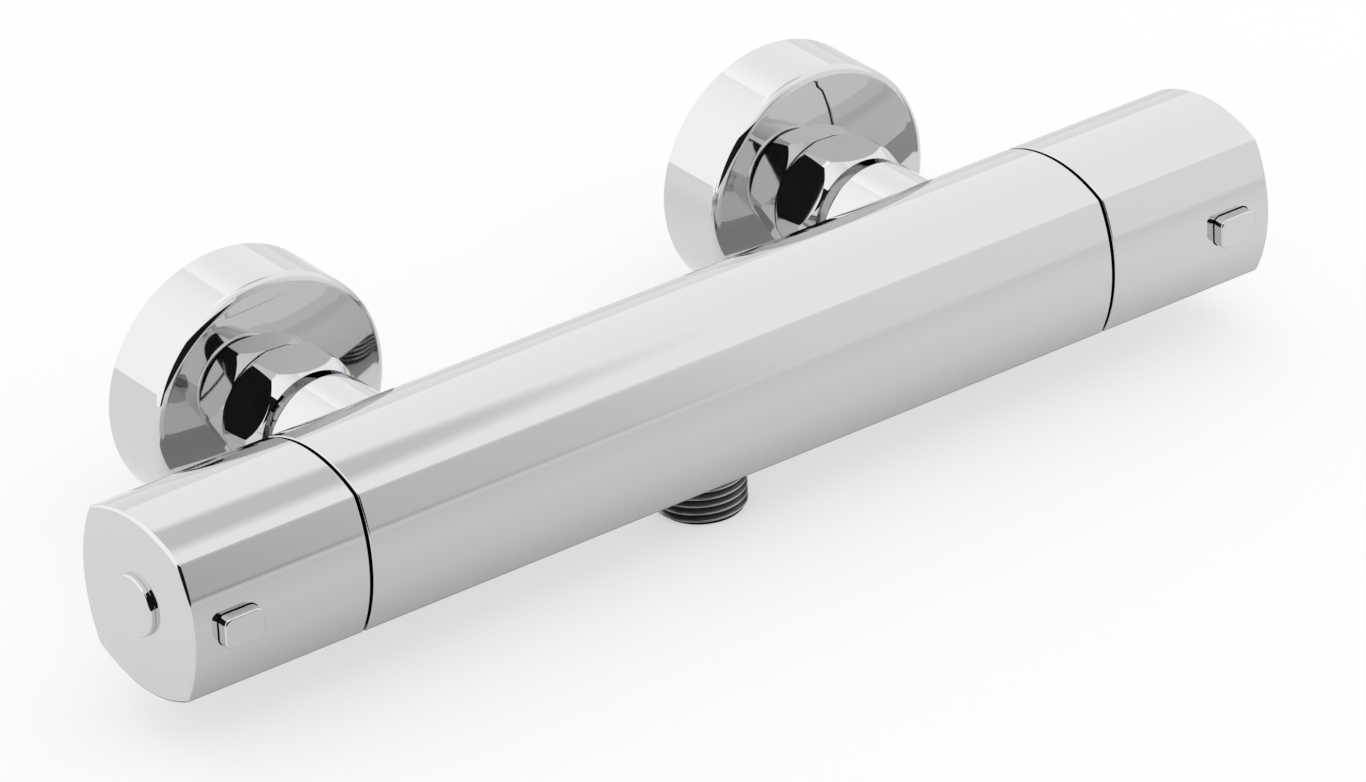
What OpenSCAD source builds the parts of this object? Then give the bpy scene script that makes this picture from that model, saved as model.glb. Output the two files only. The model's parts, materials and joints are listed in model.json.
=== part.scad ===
// Thermostatic bar shower valve, wall mounted, with two side handles.
// X runs along the bar, Y runs towards the wall, Z is up.
// The origin is on the wall, midway between the two supply pipes.

/* [Bar] */
// Distance between the two inlet axes
inlet_spacing = 150; // [140:1:170]
// From an inlet's axis to the end of the middle body
end_reach = 25; // [24:0.5:30]
// One side of the bar's section, from corner to corner
bar_side = 32.8; // [32.4:0.1:36]
// How far each side bulges past its corner line
bar_bulge = 4.2; // [4:0.1:5]
// Length of each handle
handle_len = 44.7; // [43:0.1:50]
// Gap between a handle and the middle body
seam_gap = 0.8; // [0.5:0.1:1.2]
// From the wall to the bar's axis
wall_to_axis = 71; // [69:0.5:85]
// How far the bar's axis lies below the inlets' axis
bar_drop = 0.6; // [0:0.1:1]

/* [Wall connection] */
// Diameter of a wall flange
flange_d = 60; // [56:1:70]
// Depth of a wall flange at its rim
flange_depth = 19; // [18:0.5:22]
// Height of the flange's domed face
dome_h = 2.3; // [1.5:0.1:3]
// Metal between a union nut's thread and its flats
nut_wall = 0.88; // [0.8:0.01:2.8]
// Length of a union nut
nut_len = 13.7; // [13.3:0.1:15]
// Turn of the tightened nuts from flat side up, in degrees
nut_turn = 3; // [0:1:30]
// Offset of an eccentric union's wall end
eccentric_offset = 5; // [0:0.5:6]
// Length of the wall end behind the wall's face
tail_len = 15; // [12:1:25]
// Diameter of the smooth inlet boss on the body
boss_d = 28.4; // [26:0.1:30]

/* [Hose outlet] */
// Length of the outlet thread below the bar
outlet_len = 9.2; // [8:0.1:14]

/* [Handles] */
// Length of a button along the bar
button_len = 10; // [9:0.1:12]
// Height of a button
button_h = 7.2; // [6:0.1:8]
// How far a button stands out
button_proud = 2.7; // [2.5:0.1:4]
// Travel of a button
button_travel = 2.2; // [1.5:0.1:2.4]
// From the handle's outer end to the button's middle
button_inset = 11.3; // [10.9:0.1:12.1]
// Diameter of the round cap on a handle's end
cap_d = 13.9; // [13:0.1:16]
// How far the cap stands out
cap_proud = 1.3; // [0.6:0.1:2]

/* [Hidden] */
$fn = 96;

// Shared values
over = 0.5;
play = 0.1;
run_play = 0.06;
free_gap = 0.3;
seam_edge_r = 0.35;
end_edge_r = 0.9;
corner_soften = 0.15;

// Section of the bar
bar_arc_r = (bar_side * bar_side / 4 + bar_bulge * bar_bulge) / (2 * bar_bulge);
bar_half = bar_side / 2 + bar_bulge;
bar_arc_shift = bar_arc_r - bar_half;
bar_corner_r = bar_side / sqrt(2) - corner_soften;

// Places along the bar, from its middle
body_half = inlet_spacing / 2 + end_reach;
handle_in = body_half + seam_gap;
handle_out = handle_in + handle_len;
nut_axis_z = eccentric_offset;
bar_z = nut_axis_z - bar_drop;

// Half-inch and three-quarter-inch pipe threads
thread_half_r = 10.48;
thread_half_pitch = 1.814;
thread_half_depth = 1.16;
thread_big_r = 13.22;
thread_big_depth = 1.16;
crest_share = 0.42;
flank_share = 0.2;

// Wall connection, heights measured out from the wall
flange_r = flange_d / 2;
flange_rim_r = 2.2;
flange_wall = 1.5;
flange_neck_wall = 2.4;
flange_neck_start = 10;
dome_r = (pow(flange_r - flange_rim_r, 2) + dome_h * dome_h) / (2 * dome_h);
dome_drop = dome_r - sqrt(dome_r * dome_r - thread_big_r * thread_big_r);
nut_back_gap = 0.1;
nut_w0 = flange_depth + dome_h - dome_drop + nut_back_gap;
nut_w1 = nut_w0 + nut_len;
nut_af = 2 * (thread_big_r + nut_wall);
nut_lip = 1.6;
nut_corner_cut = 0.35;
nut_chamfer = 3.2;
nut_back_chamfer = 3;
nut_face_r = nut_af / 2 - nut_corner_cut;
nut_back_step = 0.55;
nut_back_r = nut_face_r + nut_back_step;
nut_front_gap = 2.9;
boss_w = nut_w1 + nut_front_gap;
boss_edge_r = 0.8;
nipple_neck_r = 10.6;
nipple_collar_r = thread_big_r - free_gap;
nipple_collar_len = 2.8;
nipple_thread_r = 9.5;
nipple_thread_len = 12.5;
nipple_bore_r = 8;
washer_t = 1.6;
strainer_rays = 8;
washer_w1 = nut_w1 - nut_lip - nipple_collar_len;
washer_w0 = washer_w1 - washer_t;
eccentric_bore_r = 8;
eccentric_tail_bore_r = 6.5;
eccentric_shoulder_w = 8;
eccentric_plain_w = 2;
eccentric_flats = 21;

// Check valve, heights measured from the nipple's sealing face
check_r = nipple_bore_r;
check_wall = 1.5;
check_seat_r = 4.5;
check_seat_t = 2;
check_lift = 3.5;
check_spring_solid = 6;
poppet_r = 5.6;
poppet_t = 2.5;
poppet_stem_r = 1.2;
spider_t = 2;
spider_spoke = 1.6;
spider_spokes = 3;
spider_hub_r = 2.6;
check_inset = 1.2;
check_len = check_seat_t + poppet_t + check_lift + check_spring_solid + spider_t;
check_w0 = washer_w1 + check_inset;

// Hose outlet, heights measured down from the bar's axis
outlet_end = bar_half + outlet_len;
outlet_shank_r = 9.5;
outlet_shank_top = 15;
outlet_chamber_top = 9;
outlet_bore_r = 7;

// Water passages in the body
main_bore_r = 6.5;
side_bore_r = 2.6;
hot_bore_y = 14.6;
hot_bore_z = 9.2;
return_bore_y = -9.5;
return_bore_z = -13;
return_port_r = 2.5;
flow_socket_wall = 1.6;

// Thermostatic cartridge, depths measured in from the body's end
sock_r = 14;
sock_depth = 50;
cart_seal_t = 2;
cart_wall = 2.4;
cart_r = sock_r - play;
cart_bore_r = cart_r - cart_wall;
cart_nut_len = 9;
cart_nut_r = 15.5;
cart_u0 = body_half - sock_depth + cart_seal_t;
cart_u1 = body_half - cart_nut_len;
cart_lip_r = 8;
cart_lip_t = 2;
neck_r = 9.5;
neck_bore_r = 7.1;
hex_head_af = 28;
hex_head_len = 4.5;
hex_head_cut = 0.7;
neck_len = 9;
neck_u1 = body_half + neck_len;
neck_wall_t = 4;
hot_seat_depth = 5.5;
hot_seat_u = cart_u0 + hot_seat_depth;
hot_gap = 1.3;
cold_gap = 0.8;
seat_lip_t = 2;
seat_lip_r = 10.2;
shuttle_len = 17;
shuttle_wall = 1.4;
shuttle_u0 = hot_seat_u + hot_gap;
shuttle_u1 = shuttle_u0 + shuttle_len;
cold_seat_u = shuttle_u1 + cold_gap;
hot_window = 4;
cold_window = 3.1;
window_count = 6;
window_w = 6;
groove_depth = 3.2;
cold_groove_depth = 1.8;
cold_groove_len = 9;
web_t = 2.5;
web_hole_r = 2;
web_pitch_r = 7;
web_holes = 4;
wax_r = 3.9;
wax_flange_r = 6;
wax_flange_t = 1.5;
wax_head = 6;
wax_tail = 4;
wax_pin_r = 1.4;
wax_pin_len = 6;
o_ring_r = 0.85;
ring_room = 1.8;
filter_t = 0.6;
filter_edge = 0.7;
filter_slots = 30;
filter_slot_w = 1.4;

// Spindle, overload spring and regulating nut
cup_r = 5.5;
cup_wall = 1;
cup_len = 6;
cup_travel = 2;
reg_r = neck_bore_r - play;
reg_thread_len = 5;
reg_lip_t = 1;
spindle_thread_r = 4;
spindle_r = 5;
spindle_collar_r = 6.5;
spindle_collar_t = 2;
spline_r = 4.6;
spline_len = 10;
spline_teeth = 12;
spline_depth = 0.35;
spline_neck = 3;

// Handle interior
handle_wall = 3.2;
handle_cavity_r = bar_half - handle_wall;
handle_end_wall = 3.5;
hub_r = 7.5;
hub_screw_web = 5.5;
hub_inset = 3.5;
hub_recess_r = 5;
screw_r = 1.9;
screw_hole_r = 2;
screw_head_r = 3.6;
screw_head_t = 2.6;
screw_len = 12;
screw_slot = 1;
cap_plug_wall = 0.75;
cap_plug_len = 3;
cap_edge_r = 0.5;
end_hole_r = cap_d / 2 - cap_plug_wall;

// Button and its stop ring
button_u = handle_out - button_inset;
button_corner_r = 1.9;
button_gap = 0.25;
button_face = bar_half + button_proud;
button_flange_edge = 0.7;
button_flange_gap = 1;
button_flange_out = handle_cavity_r - button_flange_gap;
button_flange_t = 2.2;
arm_out = button_flange_out - button_flange_t;
arm_t = 1.4;
arm_w = 4;
arm_reach = 1.5;
arm_tip_u = neck_u1 - arm_reach;
spring_pad_r = 3.2;
spring_pad_h = 1;
peg_r = 1.5;
peg_len = arm_out - hub_r - spring_pad_h - button_travel - free_gap;
button_spring_r = 2.7;
spring_wire = 0.6;
stop_ring_t = 2;
stop_rim_gap = 0.7;
stop_rim_out = handle_cavity_r - stop_rim_gap;
stop_rim_t = 1.4;
stop_rim_len = 7;
stop_lug_gap = 0.5;
stop_lug_in = arm_out + stop_lug_gap;
stop_lug_w = 4;
stop_lug_turn = asin((arm_w / 2 + stop_lug_w / 2 + free_gap) / stop_lug_in);
half_flow_turn = 45;

// Flow headwork, depths measured in from the body's end
flow_sock_r = 11;
flow_sock_depth = 38;
flow_thread_r = 13;
flow_thread_len = 10;
flow_u0 = body_half - flow_sock_depth;
head_tube_r = flow_sock_r - 2 * play;
head_low_r = 9.4;
head_low_len = 16;
head_cavity_r = 8.5;
head_cavity_len = 12.5;
head_seal_t = 2.2;
head_seal_in = 6.8;
disc_t = 2.5;
disc_r = 8.3;
disc_gap = 0.05;
disc_port_r = 2.4;
disc_port_at = 4.2;
fork_r = 6.5;
fork_t = 3.5;
tang_w = 2;
tang_h = 2;
tang_len = 1.5;
tang_at = 5.4;
head_window_len = 4;
head_window_w = 7;

// Frames of the bar, of the inlets and of the turned shapes

module in_bar() translate([0, -wall_to_axis, bar_z]) children();

module left_of() mirror([1, 0, 0]) children();

module from_wall(x) translate([x, 0, nut_axis_z]) rotate([90, 0, 0]) children();

module along_x(u) translate([u, 0, 0]) rotate([0, 90, 0]) children();

module facing_front(u) translate([u, 0, 0]) rotate([90, 0, 0]) children();

module tube(r_out, r_in, len) difference() {
    cylinder(r = r_out, h = len);
    translate([0, 0, -over]) cylinder(r = r_in, h = len + 2 * over);
}

// Half section of a rod with rounded ends
module rod_half(r, len, r0, r1) {
    difference() {
        square([r, len]);
        translate([r - r0, -over]) square([r0 + over, r0 + over]);
        translate([r - r1, len - r1]) square([r1 + over, r1 + over]);
    }
    translate([r - r0, r0]) circle(r = r0);
    translate([r - r1, len - r1]) circle(r = r1);
}

module round_rod(r, len, r0, r1) rotate_extrude() rod_half(r, len, r0, r1);

// Length of bar between two stations, with rounded end edges
module bar_prism(u0, len, r0, r1) {
    intersection() {
        translate([0, bar_arc_shift, 0]) along_x(u0) round_rod(bar_arc_r, len, r0, r1);
        translate([0, -bar_arc_shift, 0]) along_x(u0) round_rod(bar_arc_r, len, r0, r1);
        translate([0, 0, bar_arc_shift]) along_x(u0) round_rod(bar_arc_r, len, r0, r1);
        translate([0, 0, -bar_arc_shift]) along_x(u0) round_rod(bar_arc_r, len, r0, r1);
        along_x(u0) round_rod(bar_corner_r, len, r0, r1);
    }
}

// Half section of a threaded rod: rings with flat crests, a pitch apart
function ring_points(r, depth, pitch, n) = [
    for (i = [0 : n - 1]) each [
        [r - depth, i * pitch],
        [r, (i + flank_share) * pitch],
        [r, (i + flank_share + crest_share) * pitch],
        [r - depth, (i + 2 * flank_share + crest_share) * pitch]
    ]
];

module threaded_rod(r, depth, pitch, len) {
    n = floor(len / pitch);
    rotate_extrude() polygon(concat(
        [[0, 0]],
        ring_points(r, depth, pitch, n),
        [[r - depth, len], [0, len]]
    ));
}

function hexagon_r(af) = af / sqrt(3);

module hexagon_bar(af, len) cylinder(r = hexagon_r(af), h = len, $fn = 6);

module ring(r, wire) rotate_extrude() translate([r, 0]) circle(r = wire, $fn = 32);

module rounded_block(w, h, r, len) linear_extrude(len) {
    square([w - 2 * r, h], center = true);
    square([w, h - 2 * r], center = true);
    for (sx = [-1, 1]) for (sy = [-1, 1])
        translate([sx * (w / 2 - r), sy * (h / 2 - r)]) circle(r = r, $fn = 32);
}

// Middle body with its two inlet bosses, sockets and water passages

module boss(x) translate([x, -wall_to_axis, nut_axis_z]) rotate([-90, 0, 0])
    round_rod(boss_d / 2, wall_to_axis - boss_w, over, boss_edge_r);

module inlet_bore(x, depth) from_wall(x) {
    translate([0, 0, boss_w - over])
        cylinder(r = nipple_thread_r, h = nipple_thread_len + over);
    translate([0, 0, boss_w]) cylinder(r = nipple_bore_r, h = depth);
}

module valve_body() color("silver") difference() {
    union() {
        in_bar() bar_prism(-body_half, 2 * body_half, seam_edge_r, seam_edge_r);
        for (side = [-1, 1]) boss(side * inlet_spacing / 2);
    }
    inlet_bore(inlet_spacing / 2, wall_to_axis - boss_w);
    inlet_bore(-inlet_spacing / 2, wall_to_axis - boss_w - flow_sock_r - flow_socket_wall);
    in_bar() {
        thermostat_socket();
        left_of() flow_socket();
        passages();
        outlet_socket();
    }
}

module thermostat_socket() {
    along_x(body_half - sock_depth) cylinder(r = sock_r, h = sock_depth + over);
    along_x(cart_u1) cylinder(r = cart_nut_r, h = cart_nut_len + over);
    along_x(hot_seat_u - over) cylinder(r = sock_r + groove_depth, h = hot_window + 2 * over);
    along_x(inlet_spacing / 2 - cold_groove_len / 2)
        cylinder(r = sock_r + cold_groove_depth, h = cold_groove_len);
}

module flow_socket() {
    along_x(flow_u0) cylinder(r = flow_sock_r, h = flow_sock_depth + over);
    along_x(body_half - flow_thread_len)
        cylinder(r = flow_thread_r, h = flow_thread_len + over);
}

module passages() {
    // Mixed water, from the cartridge to the flow headwork
    along_x(-flow_u0 - over)
        cylinder(r = main_bore_r, h = flow_u0 + body_half - sock_depth + 2 * over);
    // Hot water, from the left inlet to the cartridge's hot groove
    translate([0, hot_bore_y, hot_bore_z]) along_x(-inlet_spacing / 2)
        cylinder(r = side_bore_r, h = inlet_spacing / 2 + hot_seat_u + hot_window / 2);
    // Return, from the flow headwork's windows to the outlet
    translate([0, return_bore_y, return_bore_z]) along_x(-return_u())
        cylinder(r = side_bore_r, h = return_u());
    translate([-return_u(), 0, 0])
        rotate([atan2(return_bore_z, return_bore_y) - 90, 0, 0])
            translate([0, 0, head_low_r])
                cylinder(r = return_port_r, h = norm([return_bore_y, return_bore_z]) - head_low_r);
}

function return_u() = flow_u0 + head_seal_t + 2 * disc_t + fork_t;

module outlet_socket() translate([0, 0, -outlet_end])
    cylinder(r = outlet_shank_r, h = outlet_end - outlet_chamber_top);

// Inlet unions, one set at each side

module inlet_nipple(x) color("goldenrod") from_wall(x) difference() {
    union() {
        translate([0, 0, washer_w1]) cylinder(r = nipple_collar_r, h = nipple_collar_len);
        translate([0, 0, washer_w1]) cylinder(r = nipple_neck_r, h = boss_w - washer_w1);
        translate([0, 0, washer_w1])
            cylinder(r = nipple_thread_r, h = boss_w - washer_w1 + nipple_thread_len);
    }
    translate([0, 0, washer_w1 - over])
        cylinder(r = nipple_bore_r, h = boss_w - washer_w1 + nipple_thread_len + 2 * over);
}

// Windows between the spokes that guide the poppet's stem
module spider_windows(len) difference() {
    tube(check_r - check_wall, spider_hub_r, len);
    for (i = [0 : spider_spokes - 1]) rotate([0, 0, i * 360 / spider_spokes])
        translate([0, -spider_spoke / 2, -over]) cube([check_r, spider_spoke, len + 2 * over]);
}

module check_valve_housing(x) color("white") from_wall(x) translate([0, 0, check_w0]) difference() {
    cylinder(r = check_r, h = check_len);
    translate([0, 0, -over]) cylinder(r = check_seat_r, h = check_seat_t + 2 * over);
    translate([0, 0, check_seat_t])
        cylinder(r = check_r - check_wall, h = check_len - check_seat_t - spider_t);
    translate([0, 0, check_len - spider_t - over]) spider_windows(spider_t + 2 * over);
    cylinder(r = poppet_stem_r + play, h = check_len + over);
}

module check_valve_poppet(x) color("royalblue") from_wall(x)
    translate([0, 0, check_w0 + check_seat_t]) {
        cylinder(r = poppet_r, h = poppet_t);
        cylinder(r = poppet_stem_r, h = check_len - check_seat_t);
    }

module check_valve_spring(x) color("lightgray") from_wall(x)
    translate([0, 0, check_w0 + check_seat_t + poppet_t])
        tube(spider_hub_r, spider_hub_r - spring_wire,
            check_len - spider_t - check_seat_t - poppet_t);

module strainer_washer(x) color("dimgray") from_wall(x) translate([0, 0, washer_w0]) {
    tube(nipple_collar_r, eccentric_bore_r, washer_t);
    difference() {
        cylinder(r = eccentric_bore_r + play, h = filter_t);
        for (r = [web_hole_r : web_hole_r : eccentric_bore_r - web_hole_r])
            for (i = [0 : strainer_rays - 1]) rotate([0, 0, i * 360 / strainer_rays])
                translate([r, 0, -over]) cylinder(r = filter_t, h = filter_t + 2 * over, $fn = 24);
    }
}

module union_nut(x, turn) color("silver") from_wall(x) rotate([0, 0, turn])
    translate([0, 0, nut_w0]) difference() {
        intersection() {
            hexagon_bar(nut_af, nut_len);
            rotate_extrude() polygon([
                [0, 0],
                [nut_back_r, 0],
                [hexagon_r(nut_af) - nut_corner_cut, nut_back_chamfer],
                [hexagon_r(nut_af) - nut_corner_cut, nut_len - nut_chamfer],
                [nut_face_r, nut_len],
                [0, nut_len]
            ]);
        }
        translate([0, 0, -over]) cylinder(r = thread_big_r, h = nut_len - nut_lip + over);
        cylinder(r = nipple_neck_r + free_gap, h = nut_len + over);
    }

module eccentric_union(x) color("goldenrod") from_wall(x) difference() {
    union() {
        translate([0, 0, eccentric_shoulder_w])
            cylinder(r = thread_big_r, h = washer_w0 - eccentric_shoulder_w);
        translate([0, 0, eccentric_plain_w]) intersection() {
            cylinder(r = thread_big_r - thread_big_depth,
                h = eccentric_shoulder_w - eccentric_plain_w + over);
            translate([-eccentric_flats / 2, -thread_big_r, 0])
                cube([eccentric_flats, 2 * thread_big_r, eccentric_shoulder_w]);
        }
        translate([0, -eccentric_offset, eccentric_shoulder_w]) mirror([0, 0, 1])
            cylinder(r = thread_half_r - thread_half_depth, h = eccentric_shoulder_w);
        translate([0, -eccentric_offset, -tail_len])
            threaded_rod(thread_half_r, thread_half_depth, thread_half_pitch, tail_len);
    }
    translate([0, 0, eccentric_shoulder_w])
        cylinder(r = eccentric_bore_r, h = washer_w0);
    translate([0, -eccentric_offset, -tail_len - over])
        cylinder(r = eccentric_tail_bore_r, h = tail_len + eccentric_shoulder_w + 2 * over);
}

// Half section of the flange's outside, or of its hollow when shrunk by t
module flange_half(t) {
    rim = flange_rim_r - t / 2;
    square([flange_r - t, flange_depth - t - rim]);
    translate([flange_r - t - rim, flange_depth - t - rim]) circle(r = rim);
    intersection() {
        square([flange_r - t - rim, flange_depth + dome_h]);
        translate([0, flange_depth + dome_h - dome_r]) circle(r = dome_r - t, $fn = 360);
    }
}

module wall_flange(x) color("silver") from_wall(x) difference() {
    union() {
        rotate_extrude() difference() {
            flange_half(0);
            translate([0, -over]) square([flange_r - flange_wall, 2 * over]);
            flange_half(flange_wall);
        }
        translate([0, 0, flange_neck_start]) cylinder(r = thread_big_r + flange_neck_wall,
            h = flange_depth + dome_h - flange_wall - flange_neck_start);
    }
    translate([0, 0, -over]) cylinder(r = thread_big_r, h = flange_depth + dome_h + 2 * over);
}

// Hose outlet under the bar

module hose_outlet_nipple() color("gray") in_bar() difference() {
    union() {
        translate([0, 0, -outlet_end])
            threaded_rod(thread_half_r, thread_half_depth, thread_half_pitch, outlet_len);
        translate([0, 0, -bar_half]) cylinder(r = outlet_shank_r, h = bar_half - outlet_shank_top);
    }
    translate([0, 0, -outlet_end - over])
        cylinder(r = outlet_bore_r, h = outlet_end - outlet_shank_top + 2 * over);
}

// Thermostatic cartridge in the right end

module cartridge_seal() color("dimgray") in_bar() along_x(body_half - sock_depth)
    tube(cart_r - play, cart_lip_r, cart_seal_t);

module windows(u, len, r, w) for (i = [0 : window_count - 1])
    rotate([i * 360 / window_count, 0, 0]) translate([u, -w / 2, 0]) cube([len, w, r]);

module o_ring_groove(u, r, wire) along_x(u - wire - play)
    tube(r + over, r - 2 * wire, 2 * wire + 2 * play);

cart_rings = [
    cart_u0 + cart_lip_t,
    hot_seat_u + hot_window + filter_edge + ring_room,
    cart_u1 - cart_lip_t - o_ring_r
];

module cartridge_body() color("darkkhaki") in_bar() difference() {
    union() {
        along_x(cart_u0) tube(cart_r, cart_bore_r, cart_u1 - cart_u0);
        along_x(cart_u0) tube(cart_r, cart_lip_r, cart_lip_t);
        along_x(hot_seat_u - seat_lip_t) tube(cart_r, seat_lip_r, seat_lip_t);
        along_x(cold_seat_u) tube(cart_r, seat_lip_r, seat_lip_t);
        along_x(cart_u1 - cart_wall) tube(cart_r, neck_bore_r, cart_wall);
        along_x(cart_u1 - cart_wall) tube(neck_r, neck_bore_r, neck_u1 - cart_u1 + cart_wall);
        along_x(neck_u1 - neck_wall_t) tube(neck_r, spindle_r + run_play, neck_wall_t);
    }
    windows(hot_seat_u, hot_window, sock_r, window_w);
    windows(cold_seat_u - cold_window, cold_window, sock_r, window_w);
    filter_seat(hot_seat_u, hot_window);
    filter_seat(cold_seat_u - cold_window, cold_window);
    for (u = cart_rings) o_ring_groove(u, cart_r, o_ring_r);
}

module cartridge_o_rings() color("black") in_bar()
    for (u = cart_rings) along_x(u) ring(cart_r - o_ring_r, o_ring_r);

module filter_seat(u, len) along_x(u - filter_edge)
    tube(sock_r, cart_r - filter_t, len + 2 * filter_edge);

module filter_sleeve(u, len) in_bar() difference() {
    along_x(u - filter_edge) tube(cart_r, cart_r - filter_t, len + 2 * filter_edge);
    for (i = [0 : filter_slots - 1]) rotate([i * 360 / filter_slots, 0, 0])
        translate([u, -filter_slot_w / 2, 0]) cube([len, filter_slot_w, sock_r]);
}

module hot_filter() color("gray") filter_sleeve(hot_seat_u, hot_window);

module cold_filter() color("gray") filter_sleeve(cold_seat_u - cold_window, cold_window);

module hot_cold_shuttle() color("ivory") in_bar() difference() {
    union() {
        along_x(shuttle_u0) tube(cart_bore_r - play, cart_bore_r - play - shuttle_wall, shuttle_len);
        along_x(web_u()) cylinder(r = cart_bore_r - play - shuttle_wall / 2, h = web_t);
    }
    along_x(web_u() - over) cylinder(r = wax_r + play, h = web_t + 2 * over);
    for (i = [0 : web_holes - 1]) rotate([i * 360 / web_holes, 0, 0]) translate([0, 0, web_pitch_r])
        along_x(web_u() - over) cylinder(r = web_hole_r, h = web_t + 2 * over);
}

function web_u() = shuttle_u0 + (shuttle_len - web_t) / 2;

function wax_u1() = web_u() + web_t + wax_flange_t + wax_tail;

module wax_element() color("peru") in_bar() {
    along_x(web_u() - wax_head) cylinder(r = wax_r, h = wax_u1() - web_u() + wax_head);
    along_x(web_u() + web_t) cylinder(r = wax_flange_r, h = wax_flange_t);
    along_x(wax_u1()) cylinder(r = wax_pin_r, h = wax_pin_len);
}

module shuttle_spring() color("lightgray") in_bar() along_x(cart_u0 + cart_lip_t)
    tube(seat_lip_r - free_gap, seat_lip_r - free_gap - spring_wire, shuttle_spring_len());

function shuttle_spring_len() = web_u() - cart_u0 - cart_lip_t;

function cup_u() = wax_u1() + wax_pin_len;

module overload_cup() color("peru") in_bar() along_x(cup_u()) difference() {
    cylinder(r = cup_r, h = cup_len);
    translate([0, 0, cup_wall]) cylinder(r = cup_r - cup_wall, h = cup_len);
}

function reg_thread_u() = cup_u() + cup_len + cup_travel;

module overload_spring() color("lightgray") in_bar() along_x(cup_u() + cup_wall)
    tube(cup_r - cup_wall - play, cup_r - cup_wall - play - spring_wire,
        reg_thread_u() - cup_u() - cup_wall);

module regulating_nut() color("gold") in_bar() difference() {
    along_x(cup_u() - reg_lip_t)
        cylinder(r = reg_r, h = reg_thread_u() - cup_u() + reg_lip_t + reg_thread_len);
    along_x(cup_u()) cylinder(r = cup_r + play, h = reg_thread_u() - cup_u());
    along_x(cup_u() - reg_lip_t - over) cylinder(r = cup_r - cup_wall, h = reg_lip_t + 2 * over);
    along_x(cup_u()) cylinder(r = spindle_thread_r + play, h = neck_u1);
}

// Sealing ring of a spindle, and the groove that it lies in
spindle_ring_u = neck_u1 - neck_wall_t / 2;

module spindle_o_ring() along_x(spindle_ring_u) ring(spindle_r - o_ring_r, o_ring_r);

// Splined end, the same on both spindles
module spline_end() along_x(neck_u1) difference() {
    cylinder(r = spline_r, h = spline_neck + spline_len);
    for (i = [0 : spline_teeth - 1]) rotate([0, 0, i * 360 / spline_teeth])
        translate([spline_r - spline_depth, -spline_depth, spline_neck])
            cube([over, 2 * spline_depth, spline_len + over]);
    translate([0, 0, spline_neck + spline_len - screw_len])
        cylinder(r = screw_hole_r, h = screw_len + over);
}

module thermostat_spindle() color("gold") in_bar() {
    along_x(reg_thread_u() + reg_lip_t) cylinder(r = spindle_thread_r,
        h = neck_u1 - neck_wall_t - reg_thread_u() - reg_lip_t);
    along_x(neck_u1 - neck_wall_t - spindle_collar_t - run_play)
        cylinder(r = spindle_collar_r, h = spindle_collar_t);
    difference() {
        along_x(neck_u1 - neck_wall_t - spindle_collar_t)
            cylinder(r = spindle_r, h = neck_wall_t + spindle_collar_t);
        o_ring_groove(spindle_ring_u, spindle_r, o_ring_r);
    }
    spline_end();
}

module thermostat_spindle_o_ring() color("black") in_bar() spindle_o_ring();

module hex_head(u) intersection() {
    along_x(u) hexagon_bar(hex_head_af, hex_head_len);
    along_x(u) round_rod(
        hexagon_r(hex_head_af) - hex_head_cut, hex_head_len, hex_head_cut, hex_head_cut);
}

module cartridge_nut() color("goldenrod") in_bar() difference() {
    union() {
        along_x(cart_u1) cylinder(r = cart_nut_r, h = cart_nut_len);
        hex_head(body_half);
    }
    along_x(cart_u1 - over) cylinder(r = neck_r + play, h = cart_nut_len + hex_head_len + 2 * over);
}

// Stop ring round a headwork's neck, with the lug that the button's arm meets
module stop_ring(turn) {
    u = body_half + hex_head_len;
    along_x(u) tube(stop_rim_out - stop_rim_t / 2, neck_r + play, stop_ring_t);
    along_x(u) tube(stop_rim_out, stop_rim_out - stop_rim_t, stop_rim_len);
    rotate([turn, 0, 0]) intersection() {
        along_x(u) tube(stop_rim_out - stop_rim_t / 2, stop_lug_in, stop_rim_len);
        translate([u, -stop_rim_out, -stop_lug_w / 2])
            cube([stop_rim_len, stop_rim_out, stop_lug_w]);
    }
}

module temperature_stop_ring() color("white") in_bar() stop_ring(stop_lug_turn);

module flow_stop_ring() color("white") in_bar() left_of()
    stop_ring(-stop_lug_turn - half_flow_turn);

// Handles, screws, caps and buttons, drawn for the right end

function hub_u0() = neck_u1 + hub_inset;

function screw_seat_u() = neck_u1 + spline_neck + spline_len + hub_screw_web;

module handle_shell() difference() {
    union() {
        difference() {
            bar_prism(handle_in, handle_len, seam_edge_r, end_edge_r);
            along_x(handle_in - over)
                cylinder(r = handle_cavity_r, h = handle_len - handle_end_wall + over);
        }
        along_x(hub_u0()) cylinder(r = hub_r, h = handle_out - handle_end_wall / 2 - hub_u0());
        facing_front(button_u) cylinder(r = spring_pad_r, h = hub_r + spring_pad_h);
    }
    along_x(hub_u0() - over)
        cylinder(r = spline_r + play, h = screw_seat_u() - hub_screw_web - hub_u0() + over);
    along_x(hub_u0()) cylinder(r = screw_hole_r, h = handle_out - hub_u0());
    along_x(screw_seat_u()) cylinder(r = hub_recess_r, h = handle_out - screw_seat_u());
    along_x(handle_out - handle_end_wall) cylinder(r = end_hole_r, h = handle_end_wall + over);
    facing_front(button_u) translate([0, 0, handle_cavity_r - handle_end_wall])
        rounded_block(button_len + 2 * button_gap, button_h + 2 * button_gap,
            button_corner_r + button_gap, bar_half);
}

module handle_screw() along_x(screw_seat_u()) difference() {
    union() {
        translate([0, 0, -screw_len]) cylinder(r = screw_r, h = screw_len);
        cylinder(r = screw_head_r, h = screw_head_t);
    }
    translate([-screw_slot / 2, -screw_head_r - over, screw_head_t - screw_slot])
        cube([screw_slot, 2 * screw_head_r + 2 * over, screw_slot + over]);
}

module handle_cap() along_x(handle_out) {
    round_rod(cap_d / 2, cap_proud, play, cap_edge_r);
    translate([0, 0, -cap_plug_len])
        tube(end_hole_r - play, end_hole_r - play - cap_plug_wall, cap_plug_len);
}

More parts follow.
